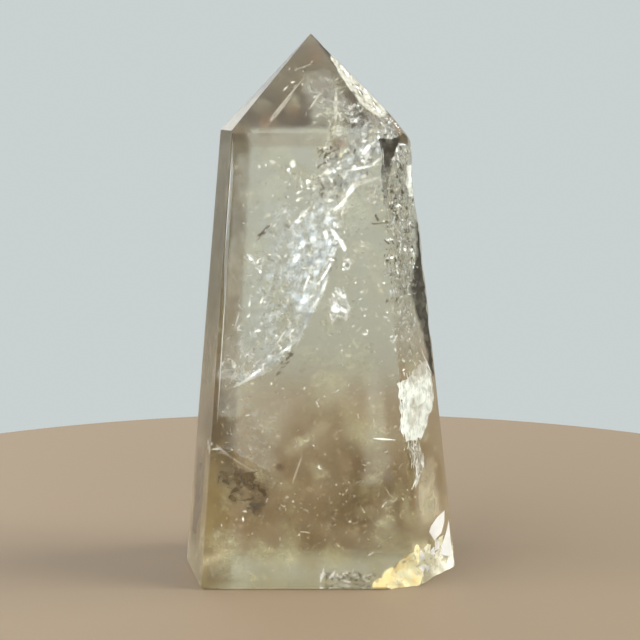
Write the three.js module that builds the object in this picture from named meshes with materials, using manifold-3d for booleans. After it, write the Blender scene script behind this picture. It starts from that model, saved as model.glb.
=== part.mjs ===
// A quartz tower: a six-sided point, cut and polished from one crystal of pale smoky quartz.
//
// Frame: millimetres, +Z up, +X to the right of the widest side, -Y out of that side.
// The crystal stands on its flat base, with the middle of its outline over the origin.

import * as THREE from 'three';
import { mergeVertices } from 'three/addons/utils/BufferGeometryUtils.js';
import Module from 'manifold-3d';

const wasm = await Module();
wasm.setup();

// ---- Driving dimensions ----

const HEIGHT = 150;
const APEX = [-2.5, -3.0, HEIGHT]; // the point sits a little to the left and to the front

// The six sides. Each looks out along its azimuth (degrees from +X towards +Y), stands reach
// millimetres from the axis at the base, leans in by lean for each millimetre of height, and
// ends at its shoulder height, where its tip facet begins. The heights differ, as they do on
// a crystal that was ground by hand, and the tip facet at the back comes down the furthest.
const FRONT = { azimuth: -90, reach: 25.0, lean: 0.065, shoulder: 123.3 }; // a wide side
const RIGHT_FRONT = { azimuth: -31, reach: 35.1, lean: 0.1, shoulder: 123.0 };
const RIGHT_BACK = { azimuth: 16.6, reach: 35.9, lean: 0.1085, shoulder: 122.5 };
const BACK = { azimuth: 90, reach: 25.0, lean: 0.065, shoulder: 118.1 }; // the other wide side
const LEFT_BACK = { azimuth: 153, reach: 35.0, lean: 0.083, shoulder: 123.6 };
const LEFT_FRONT = { azimuth: 193, reach: 37.1, lean: 0.084, shoulder: 123.9 };
const SIDES = [FRONT, RIGHT_FRONT, RIGHT_BACK, BACK, LEFT_BACK, LEFT_FRONT];

const BASE_BEVEL = 0.7; // width of the ground edge round the base

// Small facets that round the right-hand corner of the shoulder: each is tilted up from level
// by rise degrees and lies reach millimetres from the origin, measured square to the facet.
const CORNER_FACETS = [
  { azimuth: -8, rise: 38, reach: 94.3 },
  { azimuth: -9, rise: 30, reach: 82.1 },
  { azimuth: -8, rise: 14, reach: 53.5 },
];

// Scars where flakes broke away. Each is a shallow dish: it is centred at the face point at,
// looks out along azimuth and rise, is width by height across, and is depth deep. Rings of
// ripple height spread over it from the place that took the knock.
const FLAKES = [
  // The broken corner between the front and the right front, and the two dishes beside it.
  { at: [25.6, -24.8, 0.5], azimuth: -74, rise: 4, width: 21, height: 21, depth: 3.0, ripple: 0.2 },
  { at: [34.0, -11.7, 1.5], azimuth: -31, rise: 5, width: 23, height: 30, depth: 1.4, ripple: 0.16 },
  { at: [38.3, -4.6, 3.0], azimuth: -16, rise: 5, width: 11, height: 28, depth: 0.45, ripple: 0.08 },
  // The hollow below the right-hand shoulder corner, and two nicks down the same edge.
  { at: [26.4, -3.6, 107.5], azimuth: -4, rise: 6, width: 9, height: 20, depth: 0.9, ripple: 0.08 },
  { at: [28.7, -3.8, 87.0], azimuth: -12, rise: 6, width: 5, height: 9, depth: 0.5, ripple: 0.04 },
  { at: [30.7, -3.9, 69.5], azimuth: 8, rise: 6, width: 4, height: 7, depth: 0.4, ripple: 0.04 },
];
const FLAKE_RINGS = 6;
const KNOCK = -0.55; // where the knock fell, from a flake's middle, as a share of its size

// The skin that the wheel left unpolished, down the right edge of the tip: a strip of small
// pits from near the point to the shoulder, wider towards the bottom.
const PITS = {
  count: 26,
  top: 0.14, // where the strip starts, as a share of the way from the point to the shoulder
  bottom: 0.98,
  end: [21.3, -10.0, 123.0], // the middle of the strip at the shoulder
  spread: 7.0, // how far the pits stray sideways at the shoulder
  drift: 0.4, // the share of the spread that lies on the side of the front
  size: [1.4, 3.1],
  longer: 1.6, // the length of a pit over its width
  depth: [0.25, 0.6],
  swell: [0.82, 1.12], // how lumpy each pit is
  seed: 29,
};

const BLANK_HEIGHT = 160; // the block that the crystal is cut from
const CUTTER = 400; // a block that reaches past the crystal on every side
const DISH_STEPS = 11; // rings of faces in a flake scar
const DISH_SEGMENTS = 30; // faces round each ring
const DISH_CLEARANCE = 12; // how far a flake's cutter reaches out past the face
const UP = new THREE.Vector3(0, 0, 1);

// ---- Helpers ----

// A repeatable stream of numbers from 0 to 1.
function numbersFrom(seed) {
  let state = seed;
  return () => {
    state = (state * 16807) % 2147483647;
    return state / 2147483647;
  };
}

const between = (range, share) => THREE.MathUtils.lerp(range[0], range[1], share);

// The direction at an azimuth, tilted up from level by rise degrees.
function heading(azimuth, rise = 0) {
  const turn = THREE.MathUtils.degToRad(azimuth);
  const tilt = THREE.MathUtils.degToRad(rise);
  return new THREE.Vector3(
    Math.cos(turn) * Math.cos(tilt),
    Math.sin(turn) * Math.cos(tilt),
    Math.sin(tilt),
  );
}

// A closed geometry as a solid that can be cut and joined.
function solid(geometry) {
  geometry.deleteAttribute('normal');
  geometry.deleteAttribute('uv');
  const merged = mergeVertices(geometry, 1e-4);
  return new wasm.Manifold(new wasm.Mesh({
    numProp: 3,
    vertProperties: Float32Array.from(merged.getAttribute('position').array),
    triVerts: Uint32Array.from(merged.getIndex().array),
  }));
}

// A solid as an indexed geometry.
function geometryOf(body) {
  const mesh = body.getMesh();
  const indexed = new THREE.BufferGeometry();
  indexed.setAttribute('position', new THREE.BufferAttribute(mesh.vertProperties, 3));
  indexed.setIndex(new THREE.BufferAttribute(mesh.triVerts, 1));
  return indexed;
}

// Everything on the outer side of a plane, as far as the cutter reaches.
function beyond(plane) {
  const block = new THREE.BoxGeometry(CUTTER, CUTTER, CUTTER);
  block.translate(0, 0, CUTTER / 2);
  block.applyQuaternion(new THREE.Quaternion().setFromUnitVectors(UP, plane.normal));
  const foot = plane.coplanarPoint(new THREE.Vector3());
  block.translate(foot.x, foot.y, foot.z);
  return solid(block);
}

// ---- The polished form ----

function sidePlane(side) {
  const normal = heading(side.azimuth).setZ(side.lean).normalize();
  const foot = heading(side.azimuth).multiplyScalar(side.reach);
  return new THREE.Plane().setFromNormalAndCoplanarPoint(normal, foot);
}

// The facet from the shoulder line of a side up to the point.
function tipPlane(side) {
  const apex = new THREE.Vector3(...APEX);
  const shoulderReach = side.reach - side.lean * side.shoulder;
  const start = heading(side.azimuth).multiplyScalar(shoulderReach).setZ(side.shoulder);
  const along = heading(side.azimuth + 90);
  return new THREE.Plane().setFromCoplanarPoints(apex, start, start.clone().add(along));
}

// The edge between a side and the base, ground off at 45 degrees.
function basePlane(side) {
  const start = heading(side.azimuth).multiplyScalar(side.reach - BASE_BEVEL);
  return new THREE.Plane().setFromNormalAndCoplanarPoint(heading(side.azimuth, -45), start);
}

function polishedPoint() {
  const blank = new THREE.BoxGeometry(HEIGHT, HEIGHT, BLANK_HEIGHT);
  blank.translate(0, 0, BLANK_HEIGHT / 2);
  let crystal = solid(blank);
  for (const side of SIDES) {
    crystal = crystal.subtract(beyond(sidePlane(side)));
    crystal = crystal.subtract(beyond(tipPlane(side)));
    crystal = crystal.subtract(beyond(basePlane(side)));
  }
  for (const { azimuth, rise, reach } of CORNER_FACETS) {
    crystal = crystal.subtract(beyond(new THREE.Plane(heading(azimuth, rise), -reach)));
  }
  return crystal;
}

// ---- Damage and natural skin ----

// The cutter for a flake scar: a column with a rounded end, which is the dish. Rings spread
// over the end from the knock.
function flakeCutter({ at, azimuth, rise, width, height, depth, ripple }) {
  const profile = [];
  for (let i = 0; i <= DISH_STEPS; i += 1) {
    const share = i / DISH_STEPS;
    profile.push(new THREE.Vector2(share, share * share - 1));
  }
  profile.push(new THREE.Vector2(1, DISH_CLEARANCE / depth));
  profile.push(new THREE.Vector2(0, DISH_CLEARANCE / depth));
  const cutter = new THREE.LatheGeometry(profile, DISH_SEGMENTS);
  cutter.rotateX(Math.PI / 2);
  cutter.scale(width / 2, height / 2, depth);
  const struck = new THREE.Vector2(width, height).multiplyScalar(KNOCK);
  const position = cutter.getAttribute('position');
  for (let i = 0; i < position.count; i += 1) {
    const fromKnock = Math.hypot(position.getX(i) - struck.x, position.getY(i) - struck.y);
    const ring = Math.sin(2 * Math.PI * FLAKE_RINGS * fromKnock / Math.max(width, height));
    const inDish = Math.max(0, -position.getZ(i) / depth);
    position.setZ(i, position.getZ(i) + ripple * ring * inDish);
  }
  // The width lies level along the face, and the height runs up it.
  const out = heading(azimuth, rise);
  const level = heading(azimuth + 90);
  const upward = out.clone().cross(level);
  cutter.applyMatrix4(new THREE.Matrix4().makeBasis(level, upward, out));
  cutter.translate(...at);
  return solid(cutter);
}

// A lumpy pebble that leaves one pit in the unpolished skin.
function pitCutter(centre, size, depth, facing, random) {
  const pebble = mergeVertices(new THREE.IcosahedronGeometry(1, 1).deleteAttribute('normal')
    .deleteAttribute('uv'), 1e-4);
  const position = pebble.getAttribute('position');
  for (let i = 0; i < position.count; i += 1) {
    const swell = between(PITS.swell, random());
    position.setXYZ(i, position.getX(i) * swell, position.getY(i) * swell, position.getZ(i) * swell);
  }
  pebble.scale(size / 2, PITS.longer * size / 2, depth);
  pebble.rotateZ(2 * Math.PI * random());
  pebble.applyQuaternion(new THREE.Quaternion().setFromUnitVectors(UP, facing));
  pebble.translate(centre.x, centre.y, centre.z);
  return solid(pebble);
}

function unpolishedPits() {
  const random = numbersFrom(PITS.seed);
  const apex = new THREE.Vector3(...APEX);
  const end = new THREE.Vector3(...PITS.end);
  const facet = tipPlane(RIGHT_FRONT);
  const sideways = heading(RIGHT_FRONT.azimuth + 90);
  const pits = [];
  for (let i = 0; i < PITS.count; i += 1) {
    const share = between([PITS.top, PITS.bottom], (i + random()) / PITS.count);
    const centre = apex.clone().lerp(end, share);
    centre.addScaledVector(sideways, PITS.spread * share * (random() - PITS.drift));
    facet.projectPoint(centre, centre);
    const size = between(PITS.size, random());
    pits.push(pitCutter(centre, size, between(PITS.depth, random()), facet.normal, random));
  }
  return pits;
}

// ---- The part ----

function quartzTower() {
  let crystal = polishedPoint();
  for (const flake of FLAKES) {
    crystal = crystal.subtract(flakeCutter(flake));
  }
  for (const pit of unpolishedPits()) {
    crystal = crystal.subtract(pit);
  }
  const geometry = geometryOf(crystal);
  geometry.computeBoundingBox();
  const middle = geometry.boundingBox.getCenter(new THREE.Vector3());
  geometry.translate(-middle.x, -middle.y, 0);
  const quartz = new THREE.MeshStandardMaterial({
    color: 0xbdb28f,
    roughness: 0.06,
    metalness: 0,
    transparent: true,
    opacity: 0.35,
    flatShading: true,
  });
  const mesh = new THREE.Mesh(geometry, quartz);
  mesh.name = 'quartz_tower';
  return mesh;
}

const tower = new THREE.Group();
tower.add(quartzTower());

export default tower;
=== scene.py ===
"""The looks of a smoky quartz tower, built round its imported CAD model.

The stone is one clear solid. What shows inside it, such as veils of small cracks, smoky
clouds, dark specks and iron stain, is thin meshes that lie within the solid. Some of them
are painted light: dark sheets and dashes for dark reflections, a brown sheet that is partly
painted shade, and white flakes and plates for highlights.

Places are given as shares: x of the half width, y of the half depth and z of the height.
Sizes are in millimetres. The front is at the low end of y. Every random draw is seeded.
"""

import math

import bmesh
import bpy
import numpy as np
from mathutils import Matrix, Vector, noise
from mathutils.bvhtree import BVHTree


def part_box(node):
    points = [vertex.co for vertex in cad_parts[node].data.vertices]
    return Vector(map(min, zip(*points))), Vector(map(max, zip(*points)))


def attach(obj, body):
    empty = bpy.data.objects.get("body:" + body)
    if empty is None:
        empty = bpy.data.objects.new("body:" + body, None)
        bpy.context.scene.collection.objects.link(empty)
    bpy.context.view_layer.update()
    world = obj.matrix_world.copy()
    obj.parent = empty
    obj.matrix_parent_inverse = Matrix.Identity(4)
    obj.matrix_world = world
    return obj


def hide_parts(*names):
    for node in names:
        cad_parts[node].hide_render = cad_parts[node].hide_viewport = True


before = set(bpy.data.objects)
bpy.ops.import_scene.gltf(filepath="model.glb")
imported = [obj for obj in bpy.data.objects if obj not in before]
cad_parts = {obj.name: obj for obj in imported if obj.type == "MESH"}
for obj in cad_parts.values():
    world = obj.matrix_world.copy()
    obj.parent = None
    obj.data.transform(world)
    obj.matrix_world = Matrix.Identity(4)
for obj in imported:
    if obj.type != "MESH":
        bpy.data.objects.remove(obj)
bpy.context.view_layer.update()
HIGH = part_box("quartz_tower")[1]
SHARE = np.array([HIGH.x, HIGH.y, HIGH.z])
HEIGHT = HIGH.z
MM = 0.001
noise.seed_set(1)  # otherwise noise_vector takes its seed from the clock

# ---- The finish of the stone ----
QUARTZ_IOR = 1.544
QUARTZ_TINT = (0.58, 0.47, 0.14)  # what one length of absorption lets through
QUARTZ_DENSITY = 19.0  # lengths per metre
RELIEF = 0.05  # how deep the unevenness of its surface is
EDGE_ROUND = 0.28
POLISHED_FACE = 30  # faces of more square millimetres than this are polished ones
SMOOTH_BELOW = math.radians(40)  # edges of the broken skin that are blunter than this look round

# ---- The CAD solid, and keeping inside it ----
WELD = 0.001  # points that are this close are one point
FLAT_WITHIN = math.radians(0.6)  # faces that differ by less than this are one flat face
SKIN_GAP = 0.35  # what lies inside keeps this far from the surface
RAY_STEP = 0.01  # how far past a face the next ray starts
CORE = (0.03, 0.93)  # the heights between which the middle line of the stone is well inside it
CORE_STEP = 0.04  # how far towards that line a point moves at a time

scene = bpy.context.scene
CAD_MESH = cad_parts["quartz_tower"].data
SURFACE = BVHTree.FromPolygons(
    [v.co for v in CAD_MESH.vertices], [p.vertices for p in CAD_MESH.polygons]
)
UPWARD_RAY = Vector((0.13, 0.07, 1.0)).normalized()


def clearance(point):
    """How deep the point is under the surface, or below zero if it is outside."""
    distance = SURFACE.find_nearest(point)[3]
    crossings = 0
    start = point
    while True:
        hit = SURFACE.ray_cast(start, UPWARD_RAY)[0]
        if hit is None:
            return distance if crossings % 2 else -distance
        crossings += 1
        start = hit + UPWARD_RAY * RAY_STEP * MM


def kept_inside(point):
    """The point itself, or a place near it that is just under the surface."""
    point = Vector(point)
    gap = SKIN_GAP * MM
    if clearance(point) >= gap:
        return point
    spot, normal, _, _ = SURFACE.find_nearest(point)
    point = spot - normal * gap * 1.01
    core = Vector((0, 0, min(max(point.z, CORE[0] * HEIGHT), CORE[1] * HEIGHT)))
    while clearance(point) < gap:
        point = point.lerp(core, CORE_STEP)
    return point


def place_at(shares):
    """The point at these shares of the stone, in metres."""
    return Vector(np.array(shares) * SHARE)


# ---- Node trees ----

MIX_A, MIX_B, MIX_RESULT = 6, 7, 2  # the sockets of a Mix node that are colours


class Tree:
    """A node tree, with a short way to add nodes and join them."""

    def __init__(self, owner):
        owner.use_nodes = True
        self.tree = owner.node_tree
        self.tree.nodes.clear()

    def add(self, kind, inputs=None, output=0, **settings):
        """Add a node with its settings and inputs, and return one of its outputs."""
        node = self.tree.nodes.new("ShaderNode" + kind)
        for key, value in settings.items():
            setattr(node, key, value)
        for key, value in (inputs or {}).items():
            if isinstance(value, bpy.types.NodeSocket):
                self.tree.links.new(value, node.inputs[key])
            else:
                node.inputs[key].default_value = value
        return node.outputs[output] if node.outputs else None

    def math(self, operation, a, b=0.0):
        return self.add("Math", {0: a, 1: b}, operation=operation)

    def times(self, *factors):
        product = factors[0]
        for factor in factors[1:]:
            product = self.math("MULTIPLY", product, factor)
        return product

    def ramp(self, value, low, high, start=0.0, end=1.0):
        """start where value is low, end where it is high, and smooth in between."""
        inputs = {0: value, 1: low, 2: high, 3: start, 4: end}
        return self.add("MapRange", inputs, interpolation_type="SMOOTHSTEP")

    def mix(self, share, a, b):
        """Colour a where share is 0 and colour b where it is 1."""
        a, b = (c if isinstance(c, bpy.types.NodeSocket) else (*c, 1.0) for c in (a, b))
        return self.add("Mix", {0: share, MIX_A: a, MIX_B: b}, MIX_RESULT, data_type="RGBA")

    def attribute(self, name, output="Fac"):
        return self.add("Attribute", output=output, attribute_name=name)

    def inner(self):
        """0 at the border of a sheet, and 1 where its border value has reached 1."""
        return self.ramp(self.attribute("border"), 0.0, 1.0)

    def position(self):
        """The place in the stone, in millimetres."""
        return self.scaled(self.add("TexCoord", output="Object"), 1 / MM, 1 / MM, 1 / MM)

    def scaled(self, vector, x, y, z):
        return self.add("VectorMath", {0: vector, 1: (x, y, z)}, operation="MULTIPLY")

    def noise(self, vector, scale, detail=3.0, seed=0.0):
        inputs = {"Vector": vector, "Scale": scale, "Detail": detail, "W": seed}
        return self.add("TexNoise", inputs, noise_dimensions="4D")

    def ridges(self, vector, scale, width, detail=2.0, seed=0.0):
        """Thin winding lines, where noise passes through its middle value."""
        level = self.noise(vector, scale, detail, seed)
        middle = self.math("ABSOLUTE", self.math("SUBTRACT", level, 0.5))
        return self.ramp(middle, 0.0, width, 1.0, 0.0)

    def finish(self, surface, volume=None):
        """Make these the surface and the volume of the material."""
        inputs = {"Surface": surface}
        if volume:
            inputs["Volume"] = volume
        self.add("OutputMaterial", inputs)


# ---- The stage ----

WALL = (0.585, 0.64, 0.635)
WOOD = (0.19, 0.145, 0.1)
SCREEN = (0.33, 0.29, 0.22)
# A dim screen on the left: the axis, and where on it the screen starts and is full.
SCREEN_EDGES = (("x", -0.28, -0.33), ("x", -0.47, -0.42), ("z", 0.13, 0.05))
SCREEN_TO_WOOD = ("z", 0.0, -0.08)
# The other parts of the room, from the lowest layer to the top one: colour, and edges as above.
ROOM = (
    ((2.1, 2.15, 2.1), ("x", -0.22, -0.3), ("x", -0.7, -0.5), ("z", 0.08, 0.15)),  # bright left wall
    ((0.16, 0.145, 0.11), ("x", 0.2, 0.75)),  # dark right wall
    ((0.56, 0.6, 0.62), ("y", 0.1, -0.4)),  # wall behind the camera
    ((1.1, 1.12, 1.12), ("z", 0.5, 0.95)),  # ceiling
    (
        (3.4, 3.5, 3.6),  # softbox above the camera
        ("x", 0.55, 0.3), ("y", -0.1, -0.5), ("z", 0.12, 0.32), ("z", 0.74, 0.54),
    ),
)
# Round lights: colour, heading, and the cosines off it where they start and are full.
LIGHTS = (
    ((9.2, 9.4, 9.6), Vector((-0.75, -0.43, 0.5)), 0.68, 0.95),
    ((26.0, 26.0, 25.0), Vector((0.75, -0.05, 0.72)), 0.93, 0.98),
    ((0.42, 0.43, 0.4), Vector((0.73, -0.5, 0.47)), 0.93, 0.985),
)
LIGHTS_EDGE = ("z", 0.15, 0.35)

TABLE = (0.104, 0.074, 0.044)
TABLE_RADIUS = 1.48 * HEIGHT
TABLE_GAP = 0.05 * MM  # the air under the base, which lets it mirror as a ground base does

CAMERA_PLACE = (0, -2.974 * HEIGHT, 0.88 * HEIGHT)
CAMERA_TILT = math.radians(7.83)  # how far it looks down


def add_world():
    """The room, as colours by heading."""
    world = bpy.data.worlds.new("studio")
    scene.world = world
    t = Tree(world)
    heading = t.add("TexCoord", output="Generated")
    axes = dict(zip("xyz", t.add("SeparateXYZ", {0: heading}).node.outputs))

    def within(edges):
        return t.times(*(t.ramp(axes[axis], start, full) for axis, start, full in edges))

    screen = t.mix(within([SCREEN_TO_WOOD]), SCREEN, WOOD)
    colour = t.mix(within(SCREEN_EDGES), WALL, screen)
    for tone, *edges in ROOM:
        colour = t.mix(within(edges), colour, tone)
    for tone, way, start, full in LIGHTS:
        inputs = {0: heading, 1: way.normalized()}
        nearness = t.add("VectorMath", inputs, "Value", operation="DOT_PRODUCT")
        lit = t.times(t.ramp(nearness, start, full), within([LIGHTS_EDGE]))
        colour = t.mix(lit, colour, tone)
    t.add("OutputWorld", {0: t.add("Background", {0: colour})})


def add_table():
    """A plain round table top."""
    bm = bmesh.new()
    bmesh.ops.create_circle(bm, cap_ends=True, segments=160, radius=TABLE_RADIUS)
    table = bpy.data.objects.new("table", mesh_from(bm, "table"))
    table.location.z = -TABLE_GAP
    scene.collection.objects.link(table)
    look, t = new_look("pale_table")
    t.finish(t.add("BsdfPrincipled", {"Base Color": (*TABLE, 1), "Roughness": 0.6}))
    table.data.materials.append(look)


def add_camera():
    data = bpy.data.cameras.new("camera")
    data.lens = 90
    data.sensor_width = 36
    data.clip_start = 0.01
    camera = bpy.data.objects.new("camera", data)
    camera.location = CAMERA_PLACE
    camera.rotation_euler = (math.radians(90) - CAMERA_TILT, 0, 0)
    scene.collection.objects.link(camera)
    scene.camera = camera


# ---- Materials ----


def new_look(name):
    """A new material and its tree."""
    look = bpy.data.materials.new(name)
    return look, Tree(look)


def quartz():
    """Clear smoky stone, polished on its flat faces and rougher on its broken skin."""
    look, t = new_look("quartz")
    place = t.position()
    skin = t.attribute("skin")
    wave = t.times(t.noise(place, 0.06, detail=1.0), 0.25)
    grain = t.times(t.noise(place, 1.1, detail=4.0), skin, 0.6)
    height = t.math("ADD", wave, grain)
    surface = {
        "Base Color": (1, 1, 1, 1),
        "Roughness": t.ramp(skin, 0.0, 1.0, 0.0, 0.22),
        "IOR": QUARTZ_IOR,
        "Transmission Weight": 1.0,
        "Normal": t.add("Bump", {"Height": height, "Strength": 1.0, "Distance": RELIEF * MM}),
    }
    volume = t.add("VolumeAbsorption", {"Color": (*QUARTZ_TINT, 1), "Density": QUARTZ_DENSITY})
    t.finish(t.add("BsdfPrincipled", surface), volume)
    return look


def frost(name, colour, haze, lines, metallic=0.2, grain=0.2):
    """A veil of small cracks.

    haze is how misty it is between its marks, lines how strong they are and grain how fine
    its blotches are. The sheet's dense value scales both, rim adds bands and lip a bright edge.
    """
    look, t = new_look(name)
    flow = t.attribute("flow", "Vector")
    blotch = t.ramp(t.noise(flow, grain, detail=4.0, seed=3.0), 0.35, 0.65)
    streaks = t.ridges(t.scaled(flow, 0.12, 0.5, 0.5), 1.0, width=0.05, detail=3.0)
    creases = t.ridges(flow, 0.4, width=0.035, detail=3.0, seed=5.0)
    flecks = t.ramp(t.noise(t.scaled(flow, 0.4, 1.0, 1.0), 1.0, seed=9.0), 0.54, 0.62)
    marks = t.math("MAXIMUM", t.math("MAXIMUM", streaks, t.times(creases, 0.8)), flecks)
    marks = t.times(marks, t.math("ADD", t.times(blotch, 0.8), 0.2), lines)
    mist = t.times(haze, t.math("ADD", t.times(blotch, 0.8), 0.6))
    bands = t.ridges(t.scaled(flow, 0.07, 0.5, 0.5), 1.0, width=0.06, seed=2.0)
    rim = t.times(bands, t.attribute("rim"), 1.3)
    lip = t.times(t.attribute("lip"), t.ramp(t.noise(flow, 0.3, seed=7.0), 0.3, 0.55))
    cover = t.math("ADD", t.math("MAXIMUM", marks, rim), mist)
    alpha = t.math("ADD", t.times(cover, t.attribute("dense")), lip)
    alpha = t.times(t.math("MINIMUM", alpha, 1.0), t.inner())
    surface = {"Base Color": (*colour, 1), "Roughness": 0.35, "Metallic": metallic, "Alpha": alpha}
    t.finish(t.add("BsdfPrincipled", surface))
    return look


def stain(name, colour, cover, grain, least=0.25):
    """A soft mottled sheet of one colour. least is how thin its mottle gets."""
    look, t = new_look(name)
    flow = t.attribute("flow", "Vector")
    patch = t.ramp(t.noise(flow, grain, detail=5.0, seed=1.0), 0.36, 0.6, least, 1.0)
    alpha = t.math("MINIMUM", t.times(patch, cover, t.attribute("dense"), t.inner()), 1.0)
    t.finish(t.add("BsdfPrincipled", {"Base Color": (*colour, 1), "Roughness": 0.6, "Alpha": alpha}))
    return look


def flaw(name, colour, roughness, metallic, alpha=1.0):
    """Small strokes of one finish, with a little mottling."""
    look, t = new_look(name)
    darker = [0.8 * c for c in colour]
    lighter = [min(1.0, 1.15 * c) for c in colour]
    tone = t.mix(t.noise(t.position(), 0.7), darker, lighter)
    surface = {"Base Color": tone, "Roughness": roughness, "Metallic": metallic, "Alpha": alpha}
    t.finish(t.add("BsdfPrincipled", surface))
    return look


def crust(name, light, dark, cover, scale):
    """A patchy coat on the surface: natural skin, or iron stain."""
    look, t = new_look(name)
    place = t.position()
    tone = t.mix(t.ramp(t.noise(place, scale, detail=4.0), 0.4, 0.62), light, dark)
    patch = t.ramp(t.noise(place, 1.6 * scale, detail=5.0, seed=4.0), 0.34, 0.5, 0.5, 1.0)
    alpha = t.times(patch, cover, t.inner())
    t.finish(t.add("BsdfPrincipled", {"Base Color": tone, "Roughness": 0.5, "Alpha": alpha}))
    return look


def smoke(name, tint, density):
    """Coloured stone, with no surface of its own."""
    look, t = new_look(name)
    volume = t.add("VolumeAbsorption", {"Color": (*tint, 1), "Density": density})
    t.finish(t.add("BsdfTransparent"), volume)
    return look


# ---- Meshes ----


def add_piece(mesh, look):
    """A piece of the tower, named as its mesh."""
    piece = bpy.data.objects.new(mesh.name, mesh)
    mesh.materials.append(look)
    scene.collection.objects.link(piece)
    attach(piece, "root")
    return piece


def mesh_of(name, points, faces, smooth=True):
    mesh = bpy.data.meshes.new(name)
    mesh.from_pydata([tuple(p) for p in points], [], faces)
    mesh.polygons.foreach_set("use_smooth", [smooth] * len(faces))
    return mesh


def mesh_from(bm, name, smooth=False):
    """A mesh of what bm holds. bm is freed."""
    mesh = bpy.data.meshes.new(name)
    bm.to_mesh(mesh)
    bm.free()
    if smooth:
        mesh.polygons.foreach_set("use_smooth", [True] * len(mesh.polygons))
    return mesh


def set_values(mesh, values):
    """Give each point of the mesh its values: numbers, or vectors for flow."""
    for name, numbers in values.items():
        kind, key = ("FLOAT_VECTOR", "vector") if name == "flow" else ("FLOAT", "value")
        layer = mesh.attributes.new(name, kind, "POINT")
        layer.data.foreach_set(key, np.asarray(numbers, np.float32).ravel())


def crystal_mesh():
    """The CAD solid, with its flat faces whole again and its polished edges a little round."""
    bm = bmesh.new()
    bm.from_mesh(CAD_MESH)
    bmesh.ops.remove_doubles(bm, verts=bm.verts, dist=WELD * MM)
    bmesh.ops.dissolve_limit(bm, angle_limit=FLAT_WITHIN, verts=bm.verts, edges=bm.edges)
    least = POLISHED_FACE * MM * MM
    polished = {f for f in bm.faces if f.calc_area() > least}
    skin = bm.faces.layers.float.new("skin")
    for face in bm.faces:
        face[skin] = 0.0 if face in polished else 1.0
    edges = [e for e in bm.edges if polished.issuperset(e.link_faces)]
    shape = {"offset": EDGE_ROUND * MM, "segments": 2, "profile": 0.5, "clamp_overlap": False}
    rounded = bmesh.ops.bevel(bm, geom=edges, affect="EDGES", **shape)
    for face in rounded["faces"]:
        face[skin] = 0.0
    bmesh.ops.recalc_face_normals(bm, faces=bm.faces)
    for edge in bm.edges:
        flat = any(f.calc_area() > least for f in edge.link_faces)
        edge.smooth = not flat and edge.calc_face_angle(0.0) < SMOOTH_BELOW
    return mesh_from(bm, "crystal_body", smooth=True)


def steps_between(points):
    """How long each stretch of the line through points is, in metres."""
    return np.linalg.norm(np.diff(np.array(points, float) * SHARE, axis=0), axis=1)


def along(points, count):
    """count places spread evenly along the line through points, in metres."""
    places = np.array(points, float) * SHARE
    reach = np.concatenate([[0.0], np.cumsum(steps_between(points))])
    steps = np.linspace(0, reach[-1], count)
    return np.stack([np.interp(steps, reach, places[:, k]) for k in range(3)], axis=1)


def rounded_line(points, count):
    """The same, but bending smoothly at each of the points."""
    line = along(points, count)
    window = max(1, count // (3 * len(points)))
    padded = np.concatenate([line[:1].repeat(window, 0), line, line[-1:].repeat(window, 0)])
    kernel = np.ones(2 * window + 1) / (2 * window + 1)
    return np.stack([np.convolve(padded[:, k], kernel, "valid") for k in range(3)], axis=1)


# ---- Crumpled sheets ----

CELL = 0.7  # the size of a sheet's faces
MOST_DENSE = 1.6
LIP_WIDTH, RIM_WIDTH = 0.45, 3.5  # how far from a sharp edge its bright lip and its bands reach
FOLD_SCALE, CREASE_SCALE, SHAKE_SCALE = 0.16, 0.55, 0.5  # waves of crumpling per millimetre
PUFF_SPOKES = 28
PUFF_CRINKLE = 0.5


def crumpled(point, height, seed):
    """Push the point out of its sheet by creases of up to about this height."""
    spot = Vector(point) / MM + Vector((seed * 17.3, 0, 0))
    fold = noise.ridged_multi_fractal(spot * FOLD_SCALE, 0.9, 2.1, 4, 1.0, 2.0) - 1.2
    crease = noise.turbulence(spot * CREASE_SCALE, 3, False) - 0.6
    shake = noise.noise_vector(spot * SHAKE_SCALE) * 0.8
    shift = Vector((shake.x, height * (fold + 0.8 * crease), shake.z)) * MM
    return kept_inside(Vector(point) + shift)


def bumps(place, spots):
    """How much the spots (x, z, radius, amount) add at a place."""
    total = 0.0
    for x, z, radius, amount in spots:
        off = math.hypot(place[0] - x * SHARE[0], place[2] - z * SHARE[2]) / (radius * MM)
        total += amount * math.exp(-off * off)
    return total


class Sheet:
    """The points and faces of crumpled sheets, and the values that their finish reads."""

    def __init__(self):
        self.points = []
        self.faces = []
        self.values = {key: [] for key in ("flow", "border", "lip", "rim", "dense")}

    def add_point(self, place, **values):
        """Add a point. A value that isn't given is zero there."""
        self.points.append(place)
        for key, numbers in self.values.items():
            numbers.append(values.get(key, 0.0))

    def mesh(self, name):
        mesh = mesh_of(name, self.points, self.faces)
        set_values(mesh, self.values)
        return mesh


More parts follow.
